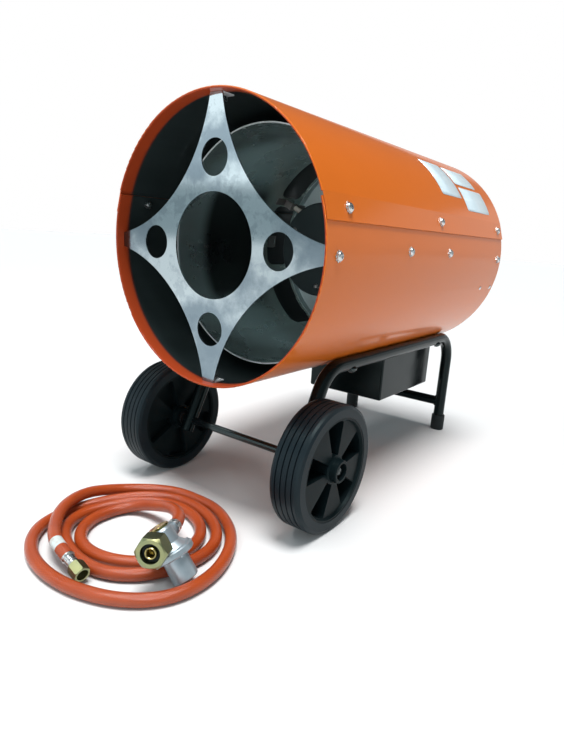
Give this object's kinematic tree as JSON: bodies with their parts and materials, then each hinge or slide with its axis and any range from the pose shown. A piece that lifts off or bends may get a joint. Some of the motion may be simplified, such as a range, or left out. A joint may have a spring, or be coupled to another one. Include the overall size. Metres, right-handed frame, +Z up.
{
  "type": "forced air heater",
  "caption": "Wheeled gas heater that blows fan-driven air through a round casing, with a star-shaped outlet plate, tubular frame, coiled hose and regulator.",
  "frame": {"origin": "on the floor, under the middle of the casing", "axes": "+Z up, +Y along the casing's axis from the hot outlet to the fan inlet, +X towards the side nearer the camera in the picture"},
  "size_m": [0.3174, 0.7281, 0.4705],
  "materials": {
    "orange_paint": "glossy powder coat",
    "black_paint": "semi-gloss black",
    "star_steel": "polished stainless sheet",
    "chamber_steel": "bright stainless sheet",
    "cone_steel": "dull heat-stained sheet",
    "zinc_hardware": "bright zinc plate",
    "black_hardware": "black zinc plate",
    "guard_wire": "bright plated wire",
    "disc_grey": "dark heat-proof grey",
    "burner_steel": "dull steel",
    "porcelain": "glazed ceramic and steel rod",
    "brass": "machined brass",
    "copper_pipe": "bright copper pipe",
    "fan_aluminium": "pressed aluminium",
    "motor_black": "dark lacquer",
    "steel_shaft": "ground steel",
    "tyre_rubber": "dark solid rubber",
    "hub_plastic": "dark moulded plastic",
    "black_rubber": "black rubber",
    "black_plastic": "black moulded plastic",
    "button_plastic": "glossy black plastic",
    "hose_rubber": "orange-red fabric-marked rubber",
    "yellow_zinc": "pale yellow zinc plate",
    "die_cast": "grey-blue die casting"
  },
  "bodies": {
    "heater": {"lower_shell": "orange_paint", "upper_cover": "orange_paint", "cover_screws": "zinc_hardware", "body_screws": "zinc_hardware", "toothed_washers": "zinc_hardware", "inner_nuts": "zinc_hardware", "shell_rivets": "zinc_hardware", "outlet_star_plate": "star_steel", "combustion_chamber": "chamber_steel", "chamber_cone": "cone_steel", "chamber_brackets": "burner_steel", "overheat_thermostat": "porcelain", "burner_disc": "disc_grey", "disc_legs": "burner_steel", "burner_tube": "cone_steel", "burner_head": "burner_steel", "gas_nozzle": "brass", "electrode_bracket": "burner_steel", "spark_electrode": "porcelain", "thermocouple": "burner_steel", "fan_motor": "motor_black", "motor_bracket": "burner_steel", "motor_screws": "zinc_hardware", "rear_guard": "guard_wire", "guard_clips": "zinc_hardware", "side_tube_left": "black_paint", "side_tube_right": "black_paint", "foot_cap_left": "black_rubber", "foot_cap_right": "black_rubber", "rear_crossbar": "black_paint", "frame_bolts": "black_hardware", "axle": "black_hardware", "axle_spacers": "black_plastic", "axle_push_nuts": "black_hardware", "control_box": "black_paint", "rear_panel": "black_paint", "panel_screws": "black_hardware", "igniter_body": "black_plastic", "gas_valve": "brass", "rocker_housing": "black_plastic", "cable_gland": "black_plastic", "gas_inlet": "brass", "gas_pipes": "copper_pipe", "hose_coil": "hose_rubber", "hose_ferrules": "zinc_hardware", "regulator_body": "die_cast", "regulator_cap": "brass", "regulator_nipple": "brass", "regulator_seal": "black_rubber"},
    "wheel_left": {"wheel_hub_left": "hub_plastic", "tyre_left": "tyre_rubber"},
    "wheel_right": {"wheel_hub_right": "hub_plastic", "tyre_right": "tyre_rubber"},
    "fan": {"fan_impeller": "fan_aluminium", "motor_shaft": "steel_shaft"},
    "igniter_push": {"igniter_button": "button_plastic"},
    "gas_push": {"gas_button": "button_plastic"},
    "switch_rocker": {"rocker": "button_plastic"},
    "cylinder_nut": {"regulator_union_nut": "yellow_zinc"},
    "small_hose_nut": {"hose_nut": "yellow_zinc"}
  },
  "joints": [
    {"name": "wheel_left_spin", "type": "hinge", "parent": "heater", "child": "wheel_left", "pos_m": [-0.126, -0.1941, 0.075], "axis": [1, 0, 0], "continuous": true},
    {"name": "wheel_right_spin", "type": "hinge", "parent": "heater", "child": "wheel_right", "pos_m": [0.126, -0.1941, 0.075], "axis": [1, 0, 0], "continuous": true},
    {"name": "fan_spin", "type": "hinge", "parent": "heater", "child": "fan", "pos_m": [0, 0.165, 0.31], "axis": [0, 1, 0], "continuous": true},
    {"name": "igniter_press", "type": "slide", "parent": "heater", "child": "igniter_push", "axis": [0, -1, 0], "range_m": [0, 0.005], "stiffness_N_per_m": 900, "springref_m": -0.003},
    {"name": "gas_button_press", "type": "slide", "parent": "heater", "child": "gas_push", "axis": [0, -1, 0], "range_m": [0, 0.006], "stiffness_N_per_m": 1200, "springref_m": -0.003},
    {"name": "power_rocker", "type": "hinge", "parent": "heater", "child": "switch_rocker", "pos_m": [0, 0.232, 0.126], "axis": [1, 0, 0], "range_deg": [0, 20]},
    {"name": "cylinder_nut_spin", "type": "hinge", "parent": "heater", "child": "cylinder_nut", "pos_m": [0.08985, -0.40777, 0.04867], "axis": [0.5029, -0.8492, 0.1613], "continuous": true},
    {"name": "hose_nut_spin", "type": "hinge", "parent": "heater", "child": "small_hose_nut", "pos_m": [0.02191, -0.43897, 0.01279], "axis": [0.9717, -0.0747, -0.2242], "continuous": true}
  ]
}
